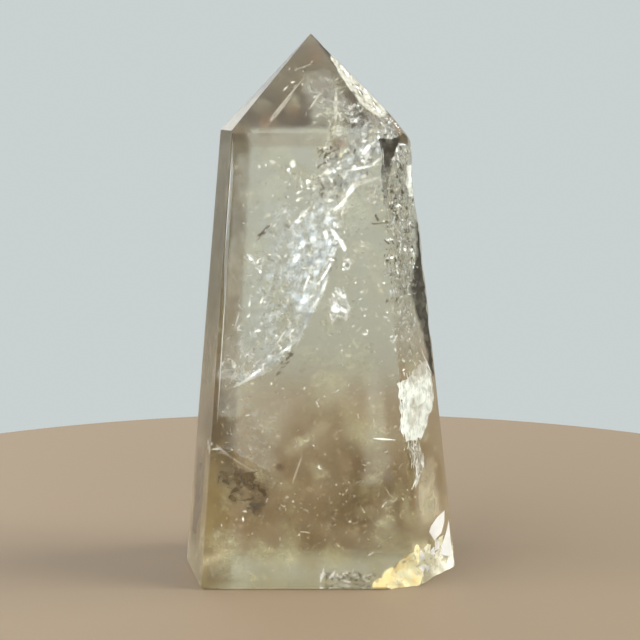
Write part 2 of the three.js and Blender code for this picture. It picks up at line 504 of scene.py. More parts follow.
def add_ribbon(
    name,
    look,
    edges,  # its first edge, which may be sharp, and its second one, which is faint
    seed,
    crinkle,  # how high its creases are, in millimetres as all its lengths
    dense=0.4,  # with more round each of the spots
    spots=(),
    lip=0.0,  # how bright its first edge is
    rim=0.0,  # how bright the bands beside that edge are
    fade=4,  # over how much it fades in from its second edge
    ends=3,  # the same from its ends
    near=0,  # and from its first edge
    cell=CELL,
):
    """A crumpled sheet between two edges."""
    length = max(steps_between(edge).sum() for edge in edges) / MM
    rows = max(8, int(length / cell))
    first, second = (rounded_line(edge, rows) for edge in edges)
    widths = np.linalg.norm(second - first, axis=1) / MM
    columns = max(6, int(widths.mean() / cell))
    sheet = Sheet()
    for i, width in enumerate(widths):
        run = length * i / (rows - 1)
        for share in np.linspace(0, 1, columns):
            place = first[i] + (second[i] - first[i]) * share
            across = width * share
            side = min((width - across) / fade, across / near if near else 99)
            sheet.add_point(
                crumpled(place, crinkle, seed),
                flow=(run, across, seed * 5.0),
                border=min(side, run / ends, (length - run) / ends),
                lip=lip * math.exp(-((across / LIP_WIDTH) ** 2)),
                rim=rim * math.exp(-((across / RIM_WIDTH) ** 2)),
                dense=min(MOST_DENSE, dense + bumps(place, spots)),
            )
    corners = [i * columns + j for i in range(rows - 1) for j in range(columns - 1)]
    sheet.faces = [(k, k + 1, k + columns + 1, k + columns) for k in corners]
    add_piece(sheet.mesh(name), look)


def turned(u, v, angle):
    """The point (u, v) turned round the origin."""
    cos, sin = math.cos(angle), math.sin(angle)
    return u * cos - v * sin, u * sin + v * cos


def add_puff(sheet, centre, radius, dense, seed, rng):
    """Add a crumpled oval to the sheet, facing the front or so."""
    facing = Vector((rng.normal(0, 0.5), -1, rng.normal(0, 0.4))).normalized()
    level = facing.cross(Vector((0, 0, 1))).normalized()
    upward = level.cross(facing)
    stretch = rng.uniform(0.65, 1.0)
    turn = rng.uniform(0, math.pi)
    rings = max(4, int(radius / CELL))
    first = len(sheet.points)
    for i in range(rings + 1):
        for j in range(PUFF_SPOKES):
            angle = 2 * math.pi * j / PUFF_SPOKES
            u, v = math.cos(angle) * i / rings, stretch * math.sin(angle) * i / rings
            u, v = turned(u, v, turn)
            place = centre + (level * u + upward * v) * radius * MM
            sheet.add_point(
                crumpled(place, PUFF_CRINKLE, seed),
                flow=(u * radius, v * radius, 3.7 * seed),
                border=1.6 * (1 - i / rings),
                dense=dense,
            )
    for i in range(rings):
        for j in range(PUFF_SPOKES):
            k = first + i * PUFF_SPOKES + j
            m = first + i * PUFF_SPOKES + (j + 1) % PUFF_SPOKES
            sheet.faces.append((k, m, m + PUFF_SPOKES, k + PUFF_SPOKES))


def add_puffs(name, look, seed, puffs):
    """Crumpled ovals in one piece, each given as x, y, z, radius and density."""
    rng = np.random.default_rng(seed)
    sheet = Sheet()
    for own_seed, (x, y, z, radius, dense) in enumerate(puffs, seed):
        add_puff(sheet, place_at((x, y, z)), radius, dense, own_seed, rng)
    add_piece(sheet.mesh(name), look)


# ---- Strokes and flakes ----

STROKE_STEPS = 7
LINE_STEPS = 120
LEAN = 0.15  # how far back flakes lean, which makes them shine
FORWARD = (0.0, LEAN)  # how far a flake turns to the right, and how far it leans back
RIGHTWARD = (0.5, 0.28)  # the same for flakes that shine through the right front side


class Strokes:
    """Flat jagged strokes, strewn over sheets and lines, all in one mesh."""

    def __init__(self, seed):
        self.rng = np.random.default_rng(seed)
        self.points = []
        self.faces = []

    def add_stroke(self, start, heading, length, width, wander, spread, turn):
        """Add a stroke that tapers at both ends and faces about the way that turn says."""
        rng = self.rng
        facing = np.array([rng.normal(turn[0], spread), -1.0, rng.normal(turn[1], spread)])
        first = len(self.points)
        spot = start - heading * length / 2 * MM
        for k in range(STROKE_STEPS):
            taper = math.sqrt(max(0.02, math.sin(math.pi * k / (STROKE_STEPS - 1))))
            across = np.cross(heading, facing)
            across /= np.linalg.norm(across)
            across *= width / 2 * MM * taper * rng.uniform(0.5, 1.3)
            self.points.extend([kept_inside(spot - across), kept_inside(spot + across)])
            heading = heading + rng.normal(0, wander, 3)
            heading /= np.linalg.norm(heading)
            spot = spot + heading * length / (STROKE_STEPS - 1) * MM
        corners = range(first, len(self.points) - 2, 2)
        self.faces.extend((q, q + 1, q + 3, q + 2) for q in corners)

    def strew(
        self,
        count,
        length,
        width,
        over,  # a sheet, which is two lines, or one line
        stray=1,  # how far they stray from it
        lie=None,  # the way they lie, where that isn't along the sheet
        scatter=0.4,  # how much their headings differ from it
        bias=1,  # more than one gathers them at the first line
        wander=0.2,  # how much they bend
        spread=0.5,  # how much they differ in the way they face
        turn=FORWARD,
    ):
        """Add a group of strokes, of about this length and width."""
        rng = self.rng
        lines = (over, over) if isinstance(over, list) else over
        a, b = (rounded_line(line, LINE_STEPS) for line in lines)
        for _ in range(count):
            i = rng.integers(1, LINE_STEPS - 1)
            share = rng.random() ** bias
            start = a[i] + (b[i] - a[i]) * share + rng.normal(0, stray, 3) * MM
            heading = (a[i + 1] - a[i - 1]) * (1 - share) + (b[i + 1] - b[i - 1]) * share
            heading = np.array(lie, float) if lie else heading
            heading = heading / np.linalg.norm(heading) + rng.normal(0, scatter, 3)
            heading /= np.linalg.norm(heading)
            own_length = length * rng.lognormal(0, 0.45)
            own_width = width * rng.uniform(0.5, 1.5)
            self.add_stroke(start, heading, own_length, own_width, wander, spread, turn)

    def add_to_scene(self, name, look):
        add_piece(mesh_of(name, self.points, self.faces), look)


def add_plates(name, look, outlines, lean=0.0):
    """Flat flakes that lean back, each a fan of faces inside its outline."""
    points, faces = [], []
    for outline in outlines:
        first = len(points)
        ring = [place_at(p) for p in outline]
        for place in ring:
            place.y += lean * (place.z - outline[0][2] * SHARE[2])
        points.append(kept_inside(sum(ring, Vector()) / len(ring)))
        points.extend(kept_inside(p) for p in ring)
        for k in range(len(ring)):
            faces.append((first, first + 1 + k, first + 1 + (k + 1) % len(ring)))
    add_piece(mesh_of(name, points, faces, smooth=False), look)


def needle(start, end, width):
    """The outline of a long thin flake."""
    a, b = np.array(start), np.array(end)
    run = b - a
    side = np.array([-run[2] / SHARE[0] * SHARE[2], 0.0, run[0] / SHARE[2] * SHARE[0]])
    side *= width / 2 * MM / np.linalg.norm(side * SHARE)
    upper = [a + run * 0.3 + side, a + run * 0.7 + side]
    lower = [a + run * 0.6 - side, a + run * 0.2 - side]
    return [a, *upper, b, *lower]


# ---- Clouds and coats ----

CLOUD_GRAIN = 0.16  # waves of mottle per millimetre
CLOUD_MOTTLE = (0.08, 2.2)  # how thin and how thick the mottle makes a cloud
COAT_DEPTH = 0.12
COAT_CELL = 0.7  # edges of a coat that are longer than this are cut
COAT_CUTS = 5  # so many times
COAT_EDGE = 5  # how sharply a coat fades towards the rims of its discs


def lump(ball, radii, seed):
    """Where a point of a round ball goes, in millimetres from the middle of its cloud."""
    rim = math.hypot(ball.x, ball.z)
    spot = Vector((ball.x * radii[0], 0, ball.z * radii[2])) * CLOUD_GRAIN
    spot += Vector((seed * 9.1, 0, 0))
    mottle = 0.75 + 1.3 * noise.fractal(spot, 0.4, 2.1, 5)
    mottle = min(CLOUD_MOTTLE[1], max(CLOUD_MOTTLE[0], mottle))
    thick = math.copysign(max(0.0, 1 - rim * rim) ** 1.2, ball.y) * mottle
    edge = 1.0 + 0.25 * noise.noise(Vector((ball.x, ball.z, seed)) * 2.5)
    return Vector((ball.x * radii[0] * edge, thick * radii[1], ball.z * radii[2] * edge))


def add_cloud(name, look, centre, radii, seed):
    """A closed lumpy lens whose thickness falls to nothing at its rim."""
    bm = bmesh.new()
    bmesh.ops.create_icosphere(bm, subdivisions=5, radius=1.0)
    middle = place_at(centre)
    for v in bm.verts:
        v.co = kept_inside(middle + lump(v.co.copy(), radii, seed) * MM)
    add_piece(mesh_from(bm, name, smooth=True), look)


def add_coat(name, look, facing, spread, discs):
    """A coat just under the CAD faces that face about one way, within discs (x, y, z, radius)."""
    facing = Vector(facing).normalized()
    discs = [(place_at(disc[:3]), disc[3] * MM) for disc in discs]

    def reached(face):
        middle = face.calc_center_median()
        size = max((v.co - middle).length for v in face.verts)
        return any((middle - centre).length < radius + size for centre, radius in discs)

    def nearness(place):
        return max(1 - (place - centre).length / radius for centre, radius in discs)

    bm = bmesh.new()
    bm.from_mesh(CAD_MESH)
    bmesh.ops.remove_doubles(bm, verts=bm.verts, dist=WELD * MM)
    bm.normal_update()
    far = [f for f in bm.faces if f.normal.dot(facing) < spread]
    bmesh.ops.delete(bm, geom=far, context="FACES")
    for _ in range(COAT_CUTS):
        far = [f for f in bm.faces if not reached(f)]
        bmesh.ops.delete(bm, geom=far, context="FACES")
        long = [e for e in bm.edges if e.calc_length() > COAT_CELL * MM]
        bmesh.ops.subdivide_edges(bm, edges=long, cuts=3)
        bmesh.ops.triangulate(bm, faces=bm.faces)
    bm.normal_update()
    border = [max(0.0, COAT_EDGE * nearness(v.co)) for v in bm.verts]
    for v in bm.verts:
        v.co -= v.normal * COAT_DEPTH * MM
        v.co.z = max(v.co.z, 0.0)
    mesh = mesh_from(bm, name)
    set_values(mesh, {"border": border})
    add_piece(mesh, look)


# ---- Where things lie ----


def with_depth(pairs, start, end=None):
    """Places from pairs of (x, z), whose y is start, or runs evenly from start to end."""
    ys = np.linspace(start, start if end is None else end, len(pairs))
    return [(x, y, z) for (x, z), y in zip(pairs, ys)]


# The right front side, by its edges: (x, y) at the base, and how they change up to the point.
RIGHT_SIDE_NEAR = ((0.675, -1.0), (-0.303, 0.39))
RIGHT_SIDE_FAR = ((1.0, -0.16), (-0.446, 0.024))
RIGHT_SIDE_INWARD = (-0.857, 0.515)


def right_side(pairs, depth):
    """Places at depth under the right front side, from pairs of (share of its width, z)."""
    inward = np.array(RIGHT_SIDE_INWARD) * depth * MM / SHARE[:2]
    places = []
    for share, z in pairs:
        edges = (RIGHT_SIDE_NEAR, RIGHT_SIDE_FAR)
        near, far = (np.array(base) + np.array(rise) * z for base, rise in edges)
        places.append((*(near + (far - near) * share + inward), z))
    return places


GREAT_VEIL = (
    with_depth(
        [
            (0.45, 0.815), (0.29, 0.745), (0.18, 0.695), (0.12, 0.664), (0.14, 0.624), (0.07, 0.583),
            (0.0, 0.522), (-0.12, 0.462), (-0.22, 0.43), (-0.4, 0.39), (-0.6, 0.365),
        ],
        -0.15, -0.55,
    ),
    with_depth(
        [(0.05, 0.812), (-0.12, 0.704), (-0.38, 0.652), (-0.5, 0.57), (-0.6, 0.47), (-0.74, 0.39)],
        -0.2, -0.6,
    ),
)
UPPER_VEIL = tuple(line[: len(line) // 2 + 1] for line in GREAT_VEIL)
LOWER_VEIL = tuple(line[len(line) // 2 :] for line in GREAT_VEIL)
SHOULDER_VEIL = (
    with_depth([(0.51, 0.845), (0.47, 0.795), (0.35, 0.755), (0.26, 0.73), (0.18, 0.695)], -0.15, -0.2),
    with_depth([(0.25, 0.88), (0.08, 0.815), (0.0, 0.755), (0.03, 0.705)], -0.3),
)
FAINT_VEIL = (
    with_depth([(-0.15, 0.7), (-0.3, 0.6), (-0.35, 0.52), (-0.42, 0.42)], -0.3, -0.45),
    with_depth([(-0.41, 0.72), (-0.53, 0.63), (-0.6, 0.52), (-0.7, 0.42)], -0.3, -0.5),
)
FLUFF = (
    with_depth([(0.145, 0.545), (0.19, 0.52), (0.235, 0.494)], -0.47, -0.52),
    with_depth([(0.135, 0.545), (0.1, 0.52), (0.06, 0.496)], -0.47, -0.52),
)
LOW_HAZE = (
    with_depth([(-0.73, 0.262), (-0.58, 0.24), (-0.28, 0.195)], -0.7, -0.55),
    with_depth([(-0.7, 0.4), (-0.4, 0.39), (-0.05, 0.35)], -0.6, -0.5),
)
EDGE_HAZE = (
    with_depth([(-0.6, 0.8), (-0.65, 0.65), (-0.7, 0.48), (-0.75, 0.3)], -0.6, -0.8),
    with_depth([(-0.42, 0.8), (-0.46, 0.65), (-0.5, 0.48), (-0.52, 0.3)], -0.6, -0.8),
)
MIDDLE_HAZE = (
    with_depth([(0.45, 0.4), (0.5, 0.3), (0.55, 0.18)], -0.5, -0.7),
    with_depth([(0.3, 0.42), (0.28, 0.3), (0.25, 0.16)], -0.5, -0.7),
)
TIP_HAZE = (
    with_depth([(0.08, 0.935), (0.16, 0.9), (0.26, 0.86), (0.34, 0.83)], -0.1, -0.4),
    with_depth([(-0.14, 0.93), (-0.16, 0.9), (-0.12, 0.86), (-0.05, 0.83)], -0.1, -0.4),
)
RIGHT_LOW_HAZE = (
    right_side([(0.85, 0.24), (0.9, 0.16), (0.9, 0.08)], 2.0),
    right_side([(0.2, 0.24), (0.15, 0.16), (0.2, 0.08)], 2.0),
)
RIGHT_FRACTURE = (
    right_side([(0.06, 0.375), (0.05, 0.34), (0.05, 0.3), (0.08, 0.264)], 1.2),
    right_side([(0.85, 0.408), (0.99, 0.37), (0.97, 0.325), (0.74, 0.29), (0.52, 0.262)], 1.2),
)
FRACTURE_TAIL = (
    right_side([(0.45, 0.262), (0.5, 0.23), (0.48, 0.205), (0.25, 0.18)], 1.5),
    right_side([(0.1, 0.262), (0.2, 0.235), (0.28, 0.205), (0.18, 0.18)], 1.5),
)
EDGE_LENS = (
    right_side([(1.0, 0.765), (1.0, 0.73), (1.0, 0.7)], 0.6),
    right_side([(0.84, 0.765), (0.72, 0.73), (0.8, 0.7)], 0.6),
)
RIGHT_CRACKLE = (
    right_side([(0.98, 0.8), (0.95, 0.7), (0.85, 0.62), (0.75, 0.52)], 2.0),
    right_side([(0.1, 0.79), (0.05, 0.7), (0.15, 0.62), (0.2, 0.52)], 2.0),
)
OUTER_CRACKLE = (
    RIGHT_CRACKLE[0],
    right_side([(0.3, 0.79), (0.22, 0.7), (0.2, 0.62), (0.2, 0.52)], 1.5),
)
RIGHT_HAZE = (
    right_side([(0.75, 0.6), (0.65, 0.52), (0.72, 0.44), (0.8, 0.39)], 2.5),
    right_side([(0.05, 0.6), (0.1, 0.52), (0.1, 0.44), (0.15, 0.39)], 2.5),
)
# Dark sheets under the right front side that stand in for dark reflections: painted dark reflections.
PAINTED_REFLECTION_CORNER = (
    right_side([(0.04, 0.815), (0.03, 0.775), (0.03, 0.735), (0.04, 0.69)], 1.0),
    right_side([(0.85, 0.812), (0.5, 0.785), (0.25, 0.745), (0.12, 0.69)], 1.2),
)
PAINTED_REFLECTION_BAND = (
    right_side([(1.0, 0.67), (1.0, 0.6), (1.0, 0.53), (1.0, 0.45), (1.0, 0.36)], 0.6),
    right_side([(0.9, 0.67), (0.85, 0.6), (0.5, 0.53), (0.8, 0.45), (0.9, 0.36)], 2.0),
)
# The low left sheet is partly brown colour and partly painted shade for the darker reflection on that
# side.
LOW_LEFT_SIDE = (
    with_depth([(-0.79, 0.25), (-0.815, 0.16), (-0.85, 0.03)], -0.6, -0.65),
    with_depth([(-0.885, 0.25), (-0.915, 0.16), (-0.955, 0.03)], 0.04, 0.06),
)
UPPER_LEFT_SIDE = (
    with_depth([(-0.63, 0.8), (-0.7, 0.58), (-0.77, 0.33)], -0.52, -0.6),
    with_depth([(-0.71, 0.8), (-0.785, 0.58), (-0.86, 0.33)], 0.03, 0.04),
)

# Sheets and lines that only strokes are strewn over.
WHOLE = ([(0.7, 0.2, 0.0), (0.55, 0.2, 0.78)], [(-0.8, -0.2, 0.0), (-0.6, -0.2, 0.78)])
BACK = ([(0.6, 0.6, 0.02), (0.44, 0.45, 0.8)], [(-0.76, 0.5, 0.02), (-0.58, 0.4, 0.8)])
FRONT = ([(0.6, -0.6, 0.02), (0.44, -0.45, 0.8)], [(-0.76, -0.7, 0.02), (-0.58, -0.5, 0.8)])
LOWER = ([(0.62, -0.7, 0.04), (0.5, -0.6, 0.4)], [(-0.78, -0.75, 0.04), (-0.68, -0.6, 0.4)])
RIGHT_OF_VEIL = ([(0.42, -0.5, 0.42), (0.42, -0.4, 0.66)], [(0.15, -0.5, 0.42), (0.24, -0.4, 0.66)])
TIP = ([(0.24, -0.25, 0.83), (0.1, -0.1, 0.905)], [(-0.45, -0.25, 0.83), (-0.22, -0.1, 0.9)])
FLUFF_FIBRES = ([(0.15, -0.5, 0.54), (0.23, -0.5, 0.487)], [(0.13, -0.5, 0.54), (0.05, -0.5, 0.487)])
CROWN = with_depth([(0.42, 0.89), (0.44, 0.83), (0.4, 0.78)], -0.3, -0.2)
BASE_LINE = [(-0.01, -0.64, 0.012), (0.39, -0.64, 0.01)]

# Ways in which strokes lie.
UP_RIGHT = (0.6, 0.0, 0.8)
DOWN_RIGHT = (0.6, 0.0, -0.8)
LEVEL = (1.0, 0.0, 0.1)
UPRIGHT = (0.0, 0.0, 1.0)
LOOSE = {"lie": UPRIGHT, "scatter": 1.0}  # nearly any way


# ---- What shows inside ----


def add_crystal():
    body = add_piece(crystal_mesh(), quartz())
    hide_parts("quartz_tower")


def add_veils():
    """The great veil of small cracks across the front, and those beside it."""
    white = frost("veil_frost", (0.78, 0.88, 1.0), 0.17, 0.9, metallic=0.6, grain=0.25)
    spots = [
        (-0.02, 0.68, 4, 0.8), (-0.08, 0.63, 6, 0.7), (0.0, 0.59, 6, 0.8), (-0.12, 0.56, 8, 0.4),
        (-0.06, 0.52, 5, 0.5), (-0.7, 0.385, 4, 0.9),
    ]
    add_ribbon("great_veil", white, GREAT_VEIL, 1, 0.4, spots=spots, lip=0.8, rim=1.0, fade=9, cell=0.6)
    spots = [(0.3, 0.78, 6, 0.4)]
    add_ribbon("shoulder_veil", white, SHOULDER_VEIL, 2, 0.6, 0.35, spots, lip=0.5, rim=1.0, cell=0.6)
    add_ribbon("faint_veil", white, FAINT_VEIL, 3, 0.5, 0.3)
    fluffy = frost("fluff_frost", (0.95, 0.98, 1.0), 1.0, 0.5, metallic=0.8, grain=0.6)
    add_ribbon("fluff", fluffy, FLUFF, 24, 0.05, 1.1, fade=0.9, ends=0.9, near=0.9, cell=0.3)


def add_hazes():
    """Faint pale sheets that soften what lies behind them."""
    grey = frost("haze_frost", (0.74, 0.77, 0.72), 0.34, 0.25, metallic=0.0, grain=0.5)
    add_ribbon("low_haze", grey, LOW_HAZE, 19, 0.3, 0.6, lip=0.1, fade=10, ends=9)
    add_ribbon("edge_haze", grey, EDGE_HAZE, 20, 0.3, fade=3, near=2)
    add_ribbon("middle_haze", grey, MIDDLE_HAZE, 21, 0.3, ends=5, near=3)
    add_ribbon("tip_haze", grey, TIP_HAZE, 22, 0.5, 0.6, fade=3, ends=4, near=3)
    tan = stain("tan_haze", (0.88, 0.82, 0.64), 0.34, 0.12, least=0.5)
    add_ribbon("right_low_haze", tan, RIGHT_LOW_HAZE, 23, 0.3, 1.4, fade=6, ends=8, near=4)


def add_right_cracks():
    """The white fracture and the dull crackle under the right front side."""
    bright = frost("fracture_frost", (0.93, 0.96, 0.9), 0.8, 0.8, metallic=0.0)
    spots = [(0.65, 0.31, 8, 0.3)]
    form = {"lip": 0.8, "rim": 1.0, "fade": 0.8, "ends": 0.6, "cell": 0.4}
    add_ribbon("right_fracture", bright, RIGHT_FRACTURE, 4, 0.5, 0.6, spots, **form)
    form = {"lip": 0.3, "rim": 0.5, "fade": 1.5, "ends": 1.5, "cell": 0.4}
    add_ribbon("fracture_tail", bright, FRACTURE_TAIL, 5, 0.5, 0.25, **form)
    form = {"lip": 0.3, "rim": 1.0, "fade": 0.8, "ends": 1.5, "cell": 0.3}
    add_ribbon("edge_lens", bright, EDGE_LENS, 6, 0.2, 1.0, **form)
    dull = frost("dull_frost", (0.42, 0.41, 0.34), 0.45, 0.7, grain=0.6)
    add_ribbon("right_crackle", dull, RIGHT_CRACKLE, 7, 0.8, 0.7, fade=2, cell=0.5)
    add_ribbon("right_haze", dull, RIGHT_HAZE, 17, 0.8, 0.5, fade=2, cell=0.5)


def add_white_puffs():
    white = frost("puff_frost", (0.95, 0.97, 0.92), 0.4, 1.0, metallic=0.1)
    puffs = [
        (0.14, -0.5, 0.508, 4.2, 2.2), (0.37, -0.3, 0.708, 3.4, 1.0), (0.37, 0.16, 0.71, 3.0, 1.3),
        (-0.34, -0.4, 0.77, 1.2, 1.5), (-0.19, -0.4, 0.765, 1.5, 1.6), (-0.7, -0.55, 0.385, 2.6, 0.7),
        (0.13, -0.4, 0.82, 2.2, 0.7),
    ]
    add_puffs("puffs", white, 40, puffs)


def add_mist():
    """Faint puffs all through the stone, with more of them low down."""
    rng = np.random.default_rng(5)
    puffs = []
    for _ in range(140):
        z = 0.03 + 0.89 * rng.random() ** 1.4
        # The stone narrows as it rises, and fast at its point.
        reach = 0.75 * (1 - 0.3 * z) * min(1.0, (1.03 - z) * 5)
        x, y = rng.uniform(-reach, reach), rng.uniform(-0.65, 0.25)
        puffs.append((x, y, z, rng.uniform(3, 8), rng.uniform(0.15, 0.6)))
    mist = frost("mist_frost", (0.78, 0.8, 0.6), 0.3, 0.5, metallic=0.1, grain=0.9)
    add_puffs("mist", mist, 80, puffs)


def add_stains():
    """Soot, rust and amber puffs."""
    soot = stain("soot", (0.12, 0.07, 0.01), 1.6, 0.6, least=0.1)
    puffs = [
        (-0.68, -0.78, 0.2, 3.6, 0.8), (-0.58, -0.78, 0.205, 3.8, 1.0), (-0.5, -0.78, 0.195, 4.2, 1.0),
        (-0.43, -0.78, 0.175, 3.6, 1.0), (-0.45, -0.78, 0.148, 3.2, 1.1), (-0.6, -0.78, 0.17, 3.0, 0.7),
        (-0.29, -0.48, 0.212, 1.2, 0.8), (0.33, 0.05, 0.77, 2.2, 1.0), (0.1, 0.0, 0.775, 1.8, 0.9),
    ]
    add_puffs("soot", soot, 200, puffs)
    rust = stain("rust", (0.3, 0.17, 0.07), 0.55, 0.5)
    puffs = [
        (-0.28, -0.48, 0.212, 2.0, 1.0), (0.13, -0.4, 0.8, 3.0, 0.8), (-0.2, -0.2, 0.85, 4.0, 0.9),
        (-0.38, -0.3, 0.835, 4.5, 1.1), (-0.04, -0.03, 0.955, 4.0, 0.8),
    ]
    add_puffs("rust", rust, 300, puffs)
    amber = stain("amber", (0.82, 0.75, 0.4), 0.4, 0.5)
    puffs = [(-0.5, -0.7, 0.012, 3.2, 1.0), (-0.4, -0.7, 0.012, 2.0, 0.8), (0.5, -0.7, 0.02, 3.0, 0.5)]
    add_puffs("amber", amber, 400, puffs)


def strew_on_veils(flaws):
    """The bright flakes and fibres of the great veil and the shoulder veil."""
    jagged = {"scatter": 0.9, "wander": 0.5, "spread": 0.35}
    flaws.strew(200, 1.9, 0.38, GREAT_VEIL, stray=0.6, bias=1.8, **jagged)
    flaws.strew(190, 2.2, 0.42, UPPER_VEIL, stray=0.8, bias=2.2, **jagged)
    flaws.strew(260, 2.4, 0.27, GREAT_VEIL, stray=0.5, scatter=0.7, bias=2, wander=0.5, spread=0.2)
    flaws.strew(64, 5.0, 0.36, GREAT_VEIL, stray=0.3, scatter=0.1, bias=8, wander=0.07, spread=0.15)
    flaws.strew(36, 2.6, 0.3, LOWER_VEIL, stray=0.5, lie=UP_RIGHT, scatter=0.3, wander=0.15)
    shoulder = {"stray": 1.2, "lie": UP_RIGHT}
    flaws.strew(150, 2.2, 0.4, SHOULDER_VEIL, scatter=0.7, wander=0.6, spread=0.3, **shoulder)
    flaws.strew(40, 2.4, 0.75, SHOULDER_VEIL, wander=0.1, spread=0.2, **shoulder)
    flaws.strew(110, 1.8, 0.55, CROWN, stray=2.2, lie=UP_RIGHT, scatter=0.9, spread=0.3)
    notch = with_depth([(0.18, 0.7), (0.12, 0.664)], -0.3)
    flaws.strew(10, 3.0, 0.5, notch, stray=0.3, scatter=0.1, wander=0.1)


def strew_on_right_side(flaws):
    """Bright flakes that shine through the right front side."""
    flaws.strew(200, 1.4, 0.5, OUTER_CRACKLE, stray=0.8, wander=0.5, spread=0.25, turn=RIGHTWARD, **LOOSE)
    slanting = {"lie": UP_RIGHT, "scatter": 0.7, "wander": 0.4, "spread": 0.3}
    flaws.strew(50, 2.0, 0.7, OUTER_CRACKLE, stray=0.5, bias=2, turn=RIGHTWARD, **slanting)
    flaws.strew(90, 1.1, 0.4, RIGHT_HAZE, spread=0.3, turn=RIGHTWARD, **LOOSE)


def strew_clusters(flaws):
    """Small bright clusters, and specks all through the stone."""
    left_crack = [(-0.79, -0.71, 0.263), (-0.66, -0.6, 0.24)]
    flaws.strew(14, 1.6, 0.5, left_crack, stray=0.5)
    flaws.strew(9, 1.1, 0.28, TIP, lie=UP_RIGHT, wander=0.1)
    flaws.strew(110, 1.5, 0.3, FLUFF_FIBRES, stray=0.4, lie=UPRIGHT, scatter=0.25, spread=0.06)
    over_fluff = [(0.17, -0.5, 0.581), (0.21, -0.5, 0.588)]
    flaws.strew(12, 1.2, 0.9, over_fluff, stray=0.5, spread=0.07, **LOOSE)
    flaws.strew(220, 0.9, 0.3, WHOLE, stray=5, **LOOSE)
    flaws.strew(220, 1.0, 0.28, FRONT, stray=2.5, spread=0.3, **LOOSE)
    flaws.strew(140, 1.0, 0.45, BACK, stray=2.5, **LOOSE)
    under_shoulder = [(0.37, -0.4, 0.7), (0.42, -0.4, 0.73)]
    flaws.strew(30, 0.9, 0.4, under_shoulder, stray=0.8, lie=UPRIGHT, scatter=0.6, spread=0.12)
    slanting = {"lie": DOWN_RIGHT, "scatter": 0.6, "wander": 0.5, "spread": 0.12}
    flaws.strew(44, 1.4, 0.22, RIGHT_OF_VEIL, stray=1.5, **slanting)
    over_veil = [(-0.22, -0.4, 0.755), (-0.05, -0.35, 0.7)]
    flaws.strew(36, 0.9, 0.25, over_veil, stray=1.6, lie=UPRIGHT, scatter=0.6, spread=0.15)
    left_of_veil = [(-0.5, -0.5, 0.6), (-0.42, -0.5, 0.575)]
    flaws.strew(16, 1.3, 0.35, left_of_veil, stray=0.6, scatter=0.5, spread=0.12)
    tip_crack = [(-0.2, -0.08, 0.922), (-0.05, -0.06, 0.938)]
    flaws.strew(8, 0.8, 0.2, tip_crack, stray=0.4, lie=LEVEL, scatter=0.5, spread=0.15)


def add_bright_flaws():
    flaws = Strokes(seed=11)
    strew_on_veils(flaws)
    strew_on_right_side(flaws)
    strew_clusters(flaws)
    flaws.add_to_scene("bright_flaws", flaw("bright_flaw", (0.93, 0.98, 1.0), 0.3, 0.8))


def add_white_flaws():
    flaws = Strokes(seed=15)
    flaws.strew(50, 3.5, 0.4, RIGHT_FRACTURE, stray=0.2, scatter=0.1, wander=0.1)
    flaws.strew(40, 2.2, 0.5, FRACTURE_TAIL, stray=0.4, scatter=0.2)
    flaws.strew(18, 1.8, 0.8, BASE_LINE, stray=0.7, lie=LEVEL, scatter=0.6)
    flaws.strew(50, 1.0, 0.5, RIGHT_HAZE, **LOOSE)
    flaws.strew(14, 1.4, 0.28, TIP, stray=1.5, lie=UP_RIGHT, scatter=0.3, wander=0.05)
    flaws.add_to_scene("white_flaws", flaw("white_flaw", (0.95, 0.98, 1.0), 0.5, 0.1))


def add_gold_flaws():
    flaws = Strokes(seed=13)
    flaws.strew(50, 1.4, 0.7, RIGHT_CRACKLE, wander=0.5, **LOOSE)
    flaws.strew(40, 1.2, 0.6, SHOULDER_VEIL, stray=1.5, **LOOSE)
    flaws.add_to_scene("gold_flaws", flaw("gold_flaw", (0.78, 0.74, 0.56), 0.4, 0.3))


def add_pale_specks():
    flaws = Strokes(seed=14)
    flaws.strew(360, 0.9, 0.28, LOWER, stray=3, **LOOSE)
    flaws.strew(160, 0.8, 0.36, FRONT, stray=3, **LOOSE)
    flaws.add_to_scene("pale_specks", flaw("pale_speck", (0.66, 0.62, 0.48), 0.5, 0.0, 0.5))


def add_dark_flaws():
    flaws = Strokes(seed=12)
    # Dashes in the veils and cracks, here and below on the shoulder veil and right crackle, are painted
    # dark reflections.
    veil_mark = [(-0.42, -0.48, 0.638), (-0.34, -0.48, 0.654)]
    flaws.strew(8, 1.8, 0.45, veil_mark, stray=0.3, scatter=0.15, wander=0.1)
    low_mark = [(-0.32, -0.48, 0.38), (-0.2, -0.48, 0.425)]
    flaws.strew(9, 2.2, 0.5, low_mark, stray=0.4, lie=UP_RIGHT, scatter=0.25)
    level = {"lie": LEVEL, "scatter": 0.06, "wander": 0.05}
    soot_foot = [(-0.5, -0.8, 0.147), (-0.4, -0.8, 0.15)]
    flaws.strew(7, 2.8, 0.6, soot_foot, stray=0.2, **level)
    soot_middle = [(-0.53, -0.8, 0.16), (-0.44, -0.8, 0.162)]
    flaws.strew(4, 2.4, 0.5, soot_middle, stray=0.15, **level)
    flaws.strew(40, 2.2, 0.5, BASE_LINE, stray=0.9, lie=LEVEL, scatter=0.6, wander=0.4)
    soot = [(-0.68, -0.8, 0.2), (-0.5, -0.8, 0.2), (-0.4, -0.8, 0.15)]
    flaws.strew(16, 1.4, 0.5, soot, stray=1.3, lie=LEVEL)
    # Painted dark reflections in the shoulder veil, its dark dashes and the right crackle.
    flaws.strew(60, 1.8, 0.5, SHOULDER_VEIL, lie=UP_RIGHT, scatter=0.5)
    shoulder_mark = [(-0.02, -0.4, 0.775), (0.06, -0.4, 0.79)]
    flaws.strew(8, 2.6, 0.6, shoulder_mark, lie=UP_RIGHT, scatter=0.3)
    flaws.strew(110, 1.8, 0.8, RIGHT_CRACKLE, wander=0.4, **LOOSE)
    flaws.strew(80, 0.7, 0.35, WHOLE, stray=5, **LOOSE)
    flaws.add_to_scene("dark_flaws_and_painted_reflections", flaw("dark_flaw", (0.1, 0.07, 0.02), 0.6, 0.0, 0.85))


